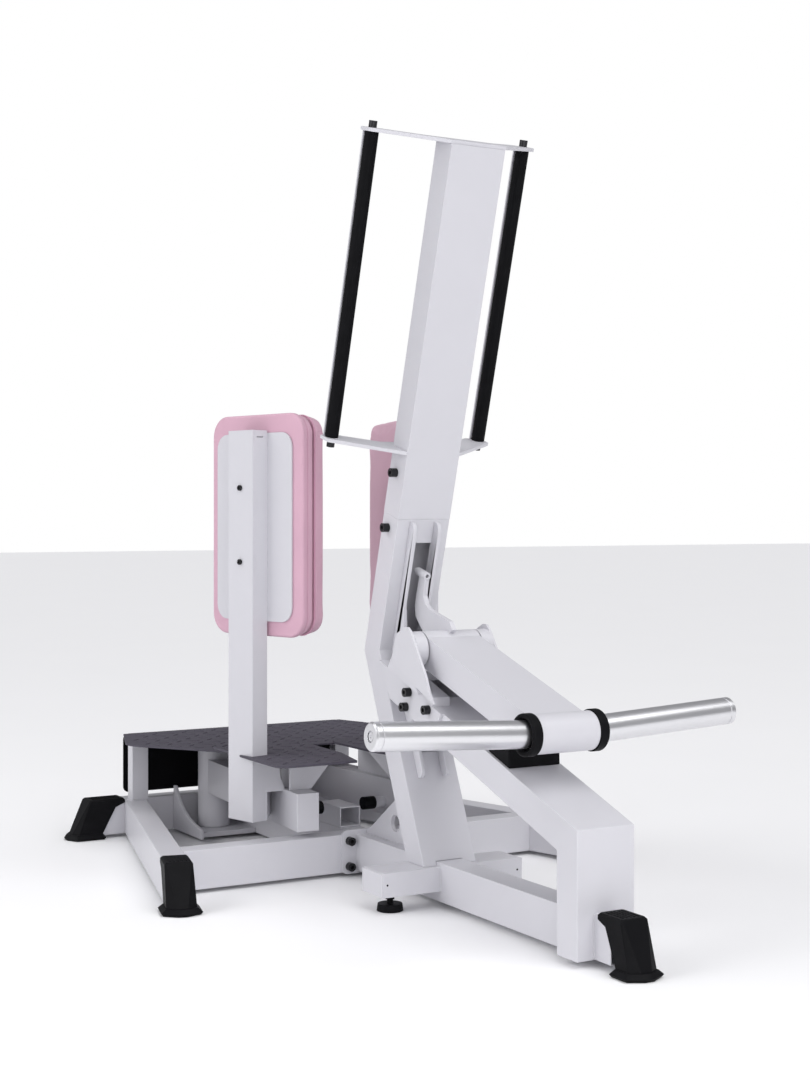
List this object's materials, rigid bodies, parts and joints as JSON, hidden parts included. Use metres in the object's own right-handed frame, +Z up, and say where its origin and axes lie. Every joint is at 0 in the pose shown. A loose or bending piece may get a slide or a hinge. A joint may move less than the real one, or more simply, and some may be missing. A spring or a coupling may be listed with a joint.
{
  "type": "standing hip abductor machine",
  "caption": "Plate-loaded standing hip abductor: thigh pads on swinging arms with foot plates, a leaning column with grips, a platform and a front weight lever.",
  "frame": {"origin": "centre of the bounding box, on the floor", "axes": "+Z up, +Y from the weight lever towards the user's platform, X = 0 the mirror plane"},
  "size_m": [1.0496, 1.692, 1.517],
  "materials": {
    "white_paint": "satin powder coat",
    "pink_vinyl": "satin vinyl over foam",
    "black_rubber": "matt",
    "tread_plate": "textured powder coat",
    "black_panel": "matt",
    "satin_steel": "satin",
    "black_steel": "black oxide",
    "bronze": "plain bearing"
  },
  "bodies": {
    "frame": {"rear_crossbeam": "white_paint", "left_side_beam": "white_paint", "right_side_beam": "white_paint", "mid_crossbeam": "white_paint", "rear_spine_tube": "white_paint", "stop_channel": "white_paint", "centre_rail": "white_paint", "joint_flange": "white_paint", "stabiliser_stubs": "white_paint", "levelling_feet": "black_rubber", "front_upright_brace": "white_paint", "column_lower": "white_paint", "column_upper": "white_paint", "column_splice": "white_paint", "column_fins": "white_paint", "brace_side_plates": "white_paint", "pivot_saddle": "white_paint", "pivot_ears": "white_paint", "lever_shaft": "satin_steel", "lever_stop_bumper": "black_rubber", "rubber_feet": "black_rubber", "platform_plate": "tread_plate", "platform_posts": "white_paint", "rear_skirt": "black_panel", "pivot_base": "white_paint", "pivot_bridge": "white_paint", "left_arm_shaft": "satin_steel", "right_arm_shaft": "satin_steel", "handle_top_bracket": "white_paint", "handle_lower_bracket": "white_paint", "grip_rods": "satin_steel", "grip_sleeves": "black_rubber", "grip_stays": "white_paint", "grip_bolts": "black_steel", "frame_bolts": "black_steel"},
    "weight_lever": {"lever_arm": "white_paint", "lever_bushes": "bronze", "lever_crank": "white_paint", "cable_fitting": "white_paint", "sleeve_carrier": "white_paint", "weight_sleeves": "satin_steel", "sleeve_collars": "black_rubber", "sleeve_end_caps": "satin_steel"},
    "left_arm_group": {"left_arm": "white_paint", "left_arm_bushes": "bronze", "left_pad_post": "white_paint", "left_foot_plate": "tread_plate", "left_stop_bumper": "black_rubber", "left_pad_backing": "white_paint", "left_pad": "pink_vinyl", "left_pad_bolts": "black_steel"},
    "right_arm_group": {"right_arm": "white_paint", "right_arm_bushes": "bronze", "right_pad_post": "white_paint", "right_foot_plate": "tread_plate", "right_stop_bumper": "black_rubber", "right_pad_backing": "white_paint", "right_pad": "pink_vinyl", "right_pad_bolts": "black_steel"}
  },
  "joints": [
    {"name": "left_arm_swing", "type": "hinge", "parent": "frame", "child": "left_arm_group", "pos_m": [-0.096, 0.716, 0.12], "axis": [0, 0, -1], "range_deg": [0, 45]},
    {"name": "right_arm_swing", "type": "hinge", "parent": "frame", "child": "right_arm_group", "pos_m": [0.096, 0.716, 0.12], "axis": [0, 0, 1], "range_deg": [0, 45]},
    {"name": "lever_lift", "type": "hinge", "parent": "frame", "child": "weight_lever", "pos_m": [0, -0.205, 0.503], "axis": [-1, 0, 0], "range_deg": [0, 36]}
  ],
  "couplings": [
    {"joint": "right_arm_swing", "follows": "left_arm_swing", "ratio": 1},
    {"joint": "lever_lift", "follows": "left_arm_swing", "ratio": 0.8}
  ]
}
